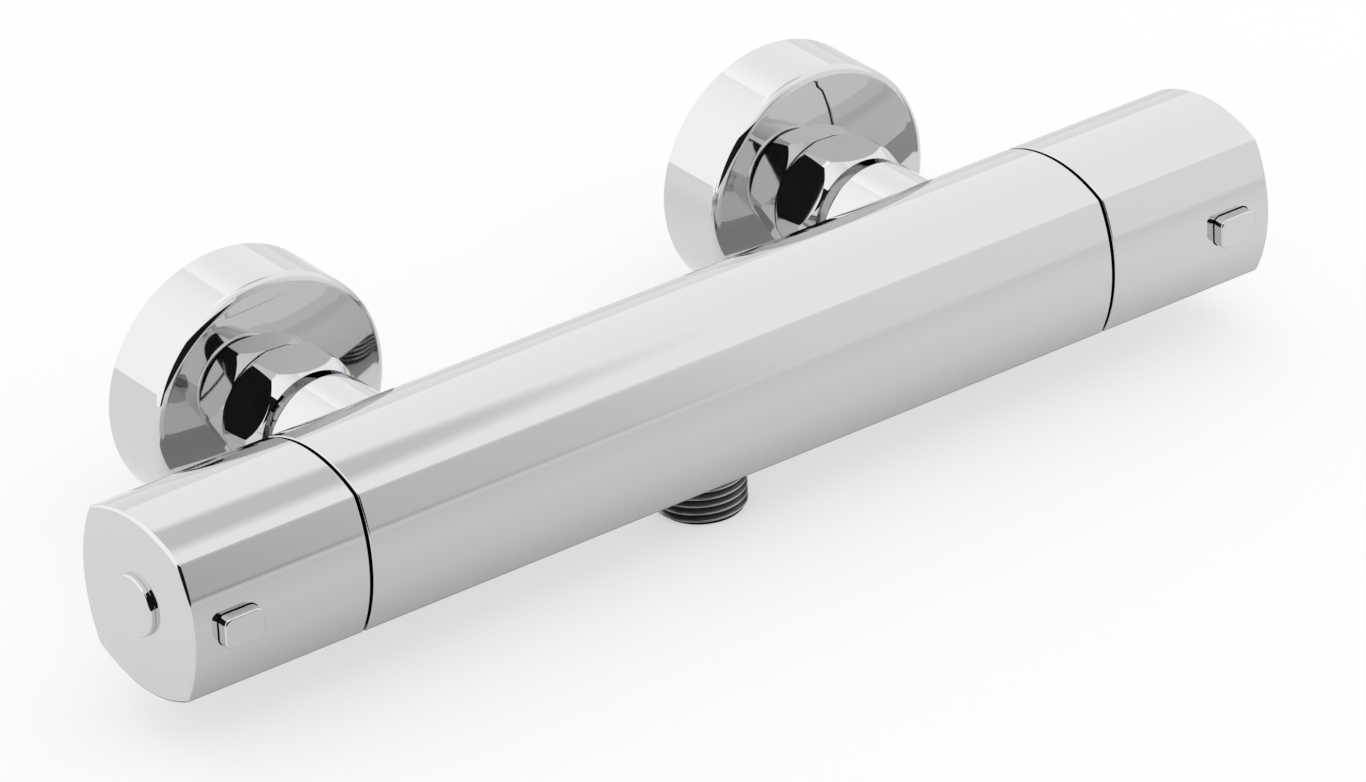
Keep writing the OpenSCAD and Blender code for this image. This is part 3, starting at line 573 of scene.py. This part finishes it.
def make_coil(name, mean_r, low, high, across, turns):
    """A spring along Y: a ring of wire screwed round the axis, with its two ends closed."""
    bpy.ops.object.select_all(action="DESELECT")
    start = Vector((mean_r, low + WIRE_R, 0)) * MM
    bpy.ops.mesh.primitive_circle_add(vertices=12, radius=WIRE_R * MM, location=start)
    coil = settle(name)
    step = coil.modifiers.new("screw", "SCREW")
    step.axis = "Y"
    step.angle = 2 * math.pi * turns
    step.screw_offset = (high - low - 2 * WIRE_R) * MM
    step.steps = step.render_steps = int(24 * turns)
    bpy.ops.object.modifier_apply(modifier=step.name)
    open_mesh(coil, "SELECT")
    bpy.ops.mesh.fill_holes(sides=0)
    bpy.ops.mesh.select_all(action="SELECT")
    bpy.ops.mesh.normals_make_consistent(inside=False)
    bpy.ops.transform.translate(value=(across[0] * MM, 0, across[1] * MM))
    close_mesh()
    polish(coil, SHARP_COIL)
    return coil


# Finishes

CHROME = (0.64, 0.645, 0.65)

# Colour, metal or not, least and most roughness, scale of the roughness, scale and height in
# millimetres of the relief, and the second colour where the piece has two
LOOKS = {
    "polished_chrome": (CHROME, 1, 0.02, 0.06, 40, 900, 0.0006, None),
    "button_chrome": (CHROME, 1, 0.03, 0.08, 60, 900, 0.0008, None),
    "outlet_metal": ((0.5, 0.5, 0.5), 1, 0.14, 0.26, 120, 1500, 0.004, None),
    "brass": ((0.72, 0.5, 0.2), 1, 0.2, 0.38, 90, 1400, 0.004, (0.6, 0.4, 0.17)),
    "cartridge_plastic": ((0.2, 0.2, 0.21), 0, 0.4, 0.55, 150, 2500, 0.006, (0.24, 0.24, 0.25)),
    "stop_ring_plastic": ((0.75, 0.75, 0.73), 0, 0.35, 0.5, 150, 2500, 0.006, (0.7, 0.7, 0.67)),
    "check_valve_plastic": ((0.7, 0.71, 0.7), 0, 0.3, 0.45, 150, 2500, 0.005, (0.66, 0.67, 0.66)),
    "poppet_plastic": ((0.09, 0.16, 0.42), 0, 0.3, 0.45, 150, 2500, 0.005, (0.08, 0.14, 0.37)),
    "seal_rubber": ((0.03, 0.03, 0.03), 0, 0.55, 0.75, 200, 3000, 0.01, (0.045, 0.045, 0.045)),
    "filter_mesh": ((0.55, 0.55, 0.56), 1, 0.25, 0.4, 200, 3000, 0.01, (0.48, 0.48, 0.5)),
    "copper": ((0.78, 0.42, 0.28), 1, 0.2, 0.36, 90, 1400, 0.004, (0.6, 0.3, 0.2)),
    "spring_steel": ((0.5, 0.5, 0.52), 1, 0.2, 0.32, 200, 2500, 0.004, (0.44, 0.44, 0.45)),
    "screw_steel": ((0.56, 0.56, 0.57), 1, 0.2, 0.34, 150, 2000, 0.004, (0.5, 0.5, 0.5)),
    "ceramic": ((0.8, 0.78, 0.74), 0, 0.12, 0.25, 120, 2500, 0.002, (0.76, 0.74, 0.7)),
}

# Painted shade in the outlet's colour by its radius in metres, dark in the roots of the thread
# where shade falls
THREAD_ROOT_PAINTED_SHADE = [(0.0092, 0.1), (0.00995, 0.2), (0.01036, 0.26), (0.01045, 0.55), (0.0105, 0.6)]
# Height in millimetres over which the thread's lower end gets its full shade
DARK_END = 0.9


def finish(name, colour, metallic, rough_low, rough_high, rough_scale, bump_scale, bump_height,
           stain):
    """A finish whose roughness and relief vary, and whose colour does where stain is given."""
    material = bpy.data.materials.new(name)
    material.use_nodes = True
    tree = material.node_tree
    shader = tree.nodes["Principled BSDF"]
    shader.inputs["Base Color"].default_value = (*colour, 1)
    shader.inputs["Metallic"].default_value = metallic
    place = tree.nodes.new("ShaderNodeTexCoord")
    cloud = tree.nodes.new("ShaderNodeTexNoise")
    cloud.inputs["Scale"].default_value = rough_scale
    cloud.inputs["Detail"].default_value = 6
    tree.links.new(place.outputs["Object"], cloud.inputs["Vector"])
    spread = tree.nodes.new("ShaderNodeMapRange")
    spread.inputs["From Min"].default_value = 0.3
    spread.inputs["From Max"].default_value = 0.7
    spread.inputs["To Min"].default_value = rough_low
    spread.inputs["To Max"].default_value = rough_high
    tree.links.new(cloud.outputs["Fac"], spread.inputs["Value"])
    tree.links.new(spread.outputs["Result"], shader.inputs["Roughness"])
    grain = tree.nodes.new("ShaderNodeTexNoise")
    grain.inputs["Scale"].default_value = bump_scale
    grain.inputs["Detail"].default_value = 3
    tree.links.new(place.outputs["Object"], grain.inputs["Vector"])
    relief = tree.nodes.new("ShaderNodeBump")
    relief.inputs["Strength"].default_value = 1
    relief.inputs["Distance"].default_value = bump_height * MM
    tree.links.new(grain.outputs["Fac"], relief.inputs["Height"])
    tree.links.new(relief.outputs["Normal"], shader.inputs["Normal"])
    if stain:
        ramp = tree.nodes.new("ShaderNodeValToRGB")
        ramp.color_ramp.elements[0].position = 0.35
        ramp.color_ramp.elements[0].color = (*colour, 1)
        ramp.color_ramp.elements[1].position = 0.7
        ramp.color_ramp.elements[1].color = (*stain, 1)
        tree.links.new(cloud.outputs["Fac"], ramp.inputs["Fac"])
        tree.links.new(ramp.outputs["Color"], shader.inputs["Base Color"])
    return material


def shade_along(tree, socket, stops):
    """A shade that follows a coordinate in metres through the stops given."""
    low, high = stops[0][0], stops[-1][0]
    spread = tree.nodes.new("ShaderNodeMapRange")
    spread.inputs["From Min"].default_value = low
    spread.inputs["From Max"].default_value = high
    tree.links.new(socket, spread.inputs["Value"])
    shades = tree.nodes.new("ShaderNodeValToRGB")
    elements = shades.color_ramp.elements
    while len(elements) < len(stops):
        elements.new(0.5)
    for i, (at, shade) in enumerate(stops):
        elements[i].position = (at - low) / (high - low)
        elements[i].color = (shade, shade, shade, 1)
    tree.links.new(spread.outputs["Result"], shades.inputs["Fac"])
    return shades.outputs["Color"]


def paint_thread_root_shade(material):
    """Paints shade into the outlet's colour: darker in the roots of the thread by its radius, and
    darker along its lower end.
    """
    tree = material.node_tree
    place = tree.nodes.new("ShaderNodeTexCoord")
    away = tree.nodes.new("ShaderNodeVectorMath")
    away.operation = "MULTIPLY_ADD"
    away.inputs[1].default_value = (1, 1, 0)
    away.inputs[2].default_value = (0, -BAR_Y * MM, 0)
    tree.links.new(place.outputs["Object"], away.inputs[0])
    reach = tree.nodes.new("ShaderNodeVectorMath")
    reach.operation = "LENGTH"
    tree.links.new(away.outputs["Vector"], reach.inputs[0])
    parts = tree.nodes.new("ShaderNodeSeparateXYZ")
    tree.links.new(place.outputs["Object"], parts.inputs[0])
    both = tree.nodes.new("ShaderNodeVectorMath")
    both.operation = "MULTIPLY"
    tree.links.new(shade_along(tree, reach.outputs["Value"], THREAD_ROOT_PAINTED_SHADE), both.inputs[0])
    ends = [(OUTLET_LOW * MM, 0.1), ((OUTLET_LOW + DARK_END) * MM, 0.25),
            ((OUTLET_LOW + 1.3 * DARK_END) * MM, 1)]
    tree.links.new(shade_along(tree, parts.outputs["Z"], ends), both.inputs[1])
    tree.links.new(both.outputs["Vector"], tree.nodes["Principled BSDF"].inputs["Base Color"])


FINISHES = {name: finish(name, *look) for name, look in LOOKS.items()}
# Painted shade in the roots of the outlet's thread
paint_thread_root_shade(FINISHES["outlet_metal"])


# Placing of the pieces

def place_piece(piece, body, slot, node):
    """Dresses a made piece, lets it ride and hides the node it stands for."""
    piece.data.materials.clear()
    piece.data.materials.append(FINISHES[slot])
    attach(piece, body)
    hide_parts(node)


for sub in frame["record"]["subparts"]:
    node = frame["nodes"][sub["node"]]
    for i in range(len(node.data.materials)):
        node.data.materials[i] = FINISHES[sub["material_slot"]]

place_piece(make_body(), "valve_frame", "polished_chrome", "valve_body")

# What both ends have: how it is made, its slot, and the body and node on the right and the left
END_PIECES = [
    (make_handle, "polished_chrome", "temperature_handle", "temperature_handle",
     "flow_handle", "flow_handle"),
    (make_cap, "polished_chrome", "temperature_handle", "temperature_handle_cap",
     "flow_handle", "flow_handle_cap"),
    (make_button, "button_chrome", "safety_button", "safety_button",
     "eco_button", "eco_button"),
]
for make, slot, right_body, right_node, left_body, left_node in END_PIECES:
    right = make()
    left = left_copy(right, left_node + "_chrome")
    place_piece(right, right_body, slot, right_node)
    place_piece(left, left_body, slot, left_node)

for make, kind in ((make_flange, "wall_flange"), (make_nut, "union_nut")):
    right = make()
    left = moved_copy(right, kind + "_left_chrome")
    place_piece(left, "valve_frame", "polished_chrome", kind + "_left")
    place_piece(right, "valve_frame", "polished_chrome", kind + "_right")

place_piece(make_outlet(), "valve_frame", "outlet_metal", "hose_outlet_nipple")

right = make_coil("safety_button_spring_coil", BUTTON_SPRING_R, BUTTON_SPRING_OUT,
                  BUTTON_SPRING_IN, (BUTTON_X, BAR_Z), BUTTON_SPRING_TURNS)
left = left_copy(right, "eco_button_spring_coil", SHARP_COIL)
for coil, body, kind, x in ((right, "temperature_handle", "safety_button", BUTTON_X),
                            (left, "flow_handle", "eco_button", -BUTTON_X)):
    place_piece(coil, body, "spring_steel", kind + "_spring")
    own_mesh(coil)

right = make_coil("check_valve_spring_right_coil", CHECK_SPRING_R, CHECK_SPRING_OUT,
                  CHECK_SPRING_IN, (PIPE_X, NUT_Z), CHECK_SPRING_TURNS)
left = moved_copy(right, "check_valve_spring_left_coil")
for coil, side, x in ((right, "right", PIPE_X), (left, "left", -PIPE_X)):
    place_piece(coil, "valve_frame", "spring_steel", "check_valve_spring_" + side)
    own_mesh(coil)


# Stage, light and camera, in metres

GROUND = -0.0255
FLOOR_SIZE = 8
FLOOR_GREY = 0.6
FLOOR_GLOW = 0.54
WORLD_LIGHT = 0.7

# One large soft lamp behind on the right, whose radiance is what a mirror shows of it
LAMP_WIDTH = 2.6
LAMP_HEIGHT = 2.2
LAMP_RADIANCE = 0.18
LAMP_PLACE = Vector((0.87, 0.33, 1.15))
LAMP_TARGET = Vector((0, -0.05, 0))

# The tent's radius, its bright side, and its brightness by how far a place lies that way
TENT_R = 2.4
TENT_SIDE = (-0.943, 0.236, 0.236)
TENT_SHADES = [(-0.3, 1), (0.1, 1.03), (0.5, 1.16), (1, 1.28), (1.6, 1.34), (2.4, 1.34)]

# How much light each card lets through by the place along one axis
BLACK_ALONG = [(-1, 0.01), (1, 0.01)]
BLACK_UPWARD = [(-1, 1), (1, 1)]
GREY_ALONG = [(0.045, 0.52), (0.07, 0.57), (0.135, 0.69), (0.212, 0.78), (0.277, 0.93),
              (0.342, 0.96), (0.42, 1)]
GREY_UPWARD = [(0.36, 0), (0.54, 1)]
# Painted shade and shadow on the floor as the metal sees it: darker towards the left, and darkest
# under and just before the bar where the valve's shadow falls
FLOOR_SHADE_ALONG = [(-0.2, 0.8), (-0.08, 0.82), (0.04, 0.88), (0.12, 0.93), (0.2, 0.97), (0.4, 1)]
FLOOR_SHADOW_INWARD = [(-0.5, 0.96), (-0.3, 0.87), (-0.2, 0.94), (-0.15, 1), (-0.108, 1), (-0.1, 0.95),
                (-0.09, 0.86), (-0.084, 0.7), (-0.078, 0.4), (-0.055, 0.4)]
# Painted shade on the floor behind the valve as the metal sees it, darker where it lies both
# further back and to the right
BACK_SHADE_ALONG = [(-0.1, 1), (0.1, 0.86)]
BACK_SHADE_INWARD = [(0.02, 1), (0.1, 0.86)]
# Painted shade at the foot of the card before the valve: a darker strip just above the floor,
# lighter towards the right
RIM_SHADE_ALONG = [(0.0, 0.8), (0.08, 0.84), (0.14, 0.9), (0.22, 1)]
RIM_SHADE_UPWARD = [(-0.012, 0), (-0.003, 1)]

# The cards: name, corners, and the two shades of the cloth with how they are put together.
# The two front cards meet at FRONT_X, and the lying cards are just above the ground.
FRONT_X = 0.045
FRONT_Y = -0.5
RIGHT_X = 0.6
LYING_Z = -0.0252
RIM_Z = -0.0254
RIM_Y = -0.42
# The floor, back and rim cards are painted shade: they darken the floor as the metal sees it, the
# floor card with the valve's shadow
CARDS = [
    ("black_card", [(FRONT_X, FRONT_Y, GROUND), (FRONT_X, FRONT_Y, 0.2),
                    (-1.4, FRONT_Y, 1.5), (-1.4, FRONT_Y, GROUND)],
     ("X", BLACK_ALONG), ("Z", BLACK_UPWARD), "MULTIPLY"),
    ("grey_card", [(FRONT_X, FRONT_Y, GROUND), (FRONT_X, FRONT_Y, 0.56),
                   (RIGHT_X, FRONT_Y, 0.56), (RIGHT_X, FRONT_Y, GROUND)],
     ("X", GREY_ALONG), ("Z", GREY_UPWARD), "MAXIMUM"),
    # Painted shadow of the valve and painted shade on the floor, shown only in the metal
    ("floor_shadow_card", [(-0.147, FRONT_Y, LYING_Z), (RIGHT_X, FRONT_Y, LYING_Z),
                    (RIGHT_X, -0.055, LYING_Z), (-0.147, -0.055, LYING_Z)],
     ("X", FLOOR_SHADE_ALONG), ("Y", FLOOR_SHADOW_INWARD), "MULTIPLY"),
    # Painted shade on the floor behind the valve, shown only in the metal
    ("back_shade_card", [(-0.1, 0.02, LYING_Z), (2, 0.02, LYING_Z),
                   (2, 1.2, LYING_Z), (-0.1, 1.2, LYING_Z)],
     ("X", BACK_SHADE_ALONG), ("Y", BACK_SHADE_INWARD), "MAXIMUM"),
    # Painted shade in a strip just above the floor, shown only in the metal
    ("rim_shade_card", [(-0.4, RIM_Y, RIM_Z), (0.22, RIM_Y, RIM_Z),
                  (0.22, RIM_Y, -0.003), (-0.4, RIM_Y, -0.003)],
     ("X", RIM_SHADE_ALONG), ("Z", RIM_SHADE_UPWARD), "MAXIMUM"),
]

# The card overhead, and the middle, reach and depth of its soft oval shade
HIGH_Z = 0.6
HIGH_CORNERS = [(-0.06, -0.06, HIGH_Z), (0.41, -0.06, HIGH_Z), (0.41, 0.38, HIGH_Z),
                (-0.06, 0.38, HIGH_Z)]
OVAL_CENTRE = (0.17, 0.16, HIGH_Z)
OVAL_SIZE = (0.22, 0.2, 1)
OVAL_EDGE = 0.6
OVAL_SHADE = 0.66

# The photograph's view: angles in degrees, and where the bar's middle lies from the view's middle
VIEW_AZIMUTH = 36.02
VIEW_ELEVATION = 28.56
VIEW_ROLL = -2.49
VIEW_DISTANCE = 1.8452
VIEW_RIGHT = 0.00267
VIEW_UP = 0.00172
VIEW_LENS = 225.08
VIEW_SENSOR = 36


def empty_tree(holder):
    """The node tree of a material or world, with nothing in it."""
    holder.use_nodes = True
    holder.node_tree.nodes.clear()
    return holder.node_tree


def only_in_metal(piece):
    """Makes a piece of the stage one that nothing but a reflection shows."""
    piece.visible_camera = piece.visible_diffuse = False
    piece.visible_shadow = piece.visible_transmission = False


def seen_directly(tree):
    """A socket that is 1 for camera, glossy and transmission rays."""
    path = tree.nodes.new("ShaderNodeLightPath")
    first = tree.nodes.new("ShaderNodeMath")
    first.operation = "MAXIMUM"
    tree.links.new(path.outputs["Is Camera Ray"], first.inputs[0])
    tree.links.new(path.outputs["Is Glossy Ray"], first.inputs[1])
    second = tree.nodes.new("ShaderNodeMath")
    second.operation = "MAXIMUM"
    tree.links.new(first.outputs[0], second.inputs[0])
    tree.links.new(path.outputs["Is Transmission Ray"], second.inputs[1])
    return second.outputs[0]


def make_world():
    """A world that shows white and lights the valve at a lower level."""
    world = bpy.data.worlds.new("studio")
    bpy.context.scene.world = world
    tree = empty_tree(world)
    mix = tree.nodes.new("ShaderNodeMixShader")
    tree.links.new(seen_directly(tree), mix.inputs["Fac"])
    for socket, strength in ((1, WORLD_LIGHT), (2, 1)):
        light = tree.nodes.new("ShaderNodeBackground")
        light.inputs["Color"].default_value = (1, 1, 1, 1)
        light.inputs["Strength"].default_value = strength
        tree.links.new(light.outputs[0], mix.inputs[socket])
    out = tree.nodes.new("ShaderNodeOutputWorld")
    tree.links.new(mix.outputs[0], out.inputs["Surface"])


def make_floor():
    """A pale floor that keeps the shadow and is lifted to white where it is seen."""
    bpy.ops.object.select_all(action="DESELECT")
    bpy.ops.mesh.primitive_plane_add(size=FLOOR_SIZE, location=(0, 0, GROUND))
    floor = settle("floor")
    material = bpy.data.materials.new("floor_white")
    tree = empty_tree(material)
    white = tree.nodes.new("ShaderNodeBsdfDiffuse")
    white.inputs["Color"].default_value = (FLOOR_GREY, FLOOR_GREY, FLOOR_GREY, 1)
    glow = tree.nodes.new("ShaderNodeEmission")
    glow.inputs["Color"].default_value = (1, 1, 1, 1)
    scale = tree.nodes.new("ShaderNodeMath")
    scale.operation = "MULTIPLY"
    scale.inputs[1].default_value = FLOOR_GLOW
    tree.links.new(seen_directly(tree), scale.inputs[0])
    tree.links.new(scale.outputs[0], glow.inputs["Strength"])
    both = tree.nodes.new("ShaderNodeAddShader")
    out = tree.nodes.new("ShaderNodeOutputMaterial")
    tree.links.new(white.outputs[0], both.inputs[0])
    tree.links.new(glow.outputs[0], both.inputs[1])
    tree.links.new(both.outputs[0], out.inputs["Surface"])
    floor.data.materials.append(material)


def card(name, corners):
    """A card of clear cloth; gives its node tree, its place socket and its colour socket."""
    bpy.ops.object.select_all(action="DESELECT")
    bpy.ops.mesh.primitive_plane_add(size=1)
    piece = settle(name)
    for corner, spot in zip((0, 1, 3, 2), corners):
        piece.data.vertices[corner].co = spot
    only_in_metal(piece)
    material = bpy.data.materials.new(name + "_cloth")
    tree = empty_tree(material)
    place = tree.nodes.new("ShaderNodeTexCoord")
    cloth = tree.nodes.new("ShaderNodeBsdfTransparent")
    out = tree.nodes.new("ShaderNodeOutputMaterial")
    tree.links.new(cloth.outputs[0], out.inputs["Surface"])
    piece.data.materials.append(material)
    return tree, place.outputs["Object"], cloth.inputs["Color"]


def make_cards():
    """The black and grey cards round the valve that give polished metal its dark lines, and the
    floor, back and rim cards that paint shade and the valve's shadow on the floor into what the
    metal shows.
    """
    for name, corners, first, second, how in CARDS:
        tree, place, colour = card(name, corners)
        parts = tree.nodes.new("ShaderNodeSeparateXYZ")
        tree.links.new(place, parts.inputs[0])
        both = tree.nodes.new("ShaderNodeMath")
        both.operation = how
        for i, (axis, stops) in enumerate((first, second)):
            tree.links.new(shade_along(tree, parts.outputs[axis], stops), both.inputs[i])
        tree.links.new(both.outputs[0], colour)


def make_overhead_card():
    """A card above the valve with a soft oval shade in its middle."""
    tree, place, colour = card("overhead_card", HIGH_CORNERS)
    fit = tree.nodes.new("ShaderNodeMapping")
    fit.vector_type = "TEXTURE"
    fit.inputs["Location"].default_value = OVAL_CENTRE
    fit.inputs["Scale"].default_value = OVAL_SIZE
    tree.links.new(place, fit.inputs["Vector"])
    oval = tree.nodes.new("ShaderNodeTexGradient")
    oval.gradient_type = "SPHERICAL"
    tree.links.new(fit.outputs["Vector"], oval.inputs["Vector"])
    spread = tree.nodes.new("ShaderNodeMapRange")
    spread.interpolation_type = "SMOOTHSTEP"
    spread.inputs["From Max"].default_value = OVAL_EDGE
    spread.inputs["To Min"].default_value = 1
    spread.inputs["To Max"].default_value = OVAL_SHADE
    tree.links.new(oval.outputs["Fac"], spread.inputs["Value"])
    tree.links.new(spread.outputs["Result"], colour)


def make_tent():
    """A white tent round everything, brighter towards the left."""
    bpy.ops.object.select_all(action="DESELECT")
    bpy.ops.mesh.primitive_uv_sphere_add(segments=48, ring_count=24, radius=TENT_R)
    tent = settle("tent")
    only_in_metal(tent)
    material = bpy.data.materials.new("tent_cloth")
    tree = empty_tree(material)
    place = tree.nodes.new("ShaderNodeTexCoord")
    side = tree.nodes.new("ShaderNodeVectorMath")
    side.operation = "DOT_PRODUCT"
    side.inputs[1].default_value = TENT_SIDE
    tree.links.new(place.outputs["Object"], side.inputs[0])
    glow = tree.nodes.new("ShaderNodeEmission")
    tree.links.new(shade_along(tree, side.outputs["Value"], TENT_SHADES), glow.inputs["Strength"])
    out = tree.nodes.new("ShaderNodeOutputMaterial")
    tree.links.new(glow.outputs[0], out.inputs["Surface"])
    tent.data.materials.append(material)


def make_lamp():
    """The soft rectangular lamp."""
    lamp = bpy.data.lights.new("overhead", "AREA")
    lamp.shape = "RECTANGLE"
    lamp.size = LAMP_WIDTH
    lamp.size_y = LAMP_HEIGHT
    lamp.energy = LAMP_RADIANCE * math.pi * LAMP_WIDTH * LAMP_HEIGHT
    holder = bpy.data.objects.new("overhead", lamp)
    bpy.context.scene.collection.objects.link(holder)
    holder.location = LAMP_PLACE
    holder.rotation_mode = "QUATERNION"
    holder.rotation_quaternion = (LAMP_PLACE - LAMP_TARGET).to_track_quat("Z", "Y")


def make_camera():
    """The camera at the photograph's view."""
    azimuth = math.radians(VIEW_AZIMUTH)
    elevation = math.radians(VIEW_ELEVATION)
    roll = math.radians(VIEW_ROLL)
    ahead = Vector((math.sin(azimuth) * math.cos(elevation),
                    math.cos(azimuth) * math.cos(elevation), -math.sin(elevation)))
    level = Vector((math.cos(azimuth), -math.sin(azimuth), 0))
    upright = level.cross(ahead)
    right = math.cos(roll) * level + math.sin(roll) * upright
    up = math.cos(roll) * upright - math.sin(roll) * level
    spot = Vector((0, BAR_Y, BAR_Z)) * MM - right * VIEW_RIGHT - up * VIEW_UP
    spot = spot - ahead * VIEW_DISTANCE
    data = bpy.data.cameras.new("photo_view")
    data.sensor_width = VIEW_SENSOR
    data.lens = VIEW_LENS
    camera = bpy.data.objects.new("photo_view", data)
    bpy.context.scene.collection.objects.link(camera)
    camera.matrix_world = Matrix((
        (right.x, up.x, -ahead.x, spot.x),
        (right.y, up.y, -ahead.y, spot.y),
        (right.z, up.z, -ahead.z, spot.z),
        (0, 0, 0, 1)))
    bpy.context.scene.camera = camera


make_world()
make_floor()
make_cards()
make_overhead_card()
make_tent()
make_lamp()
make_camera()
bpy.context.scene.view_settings.view_transform = "Standard"
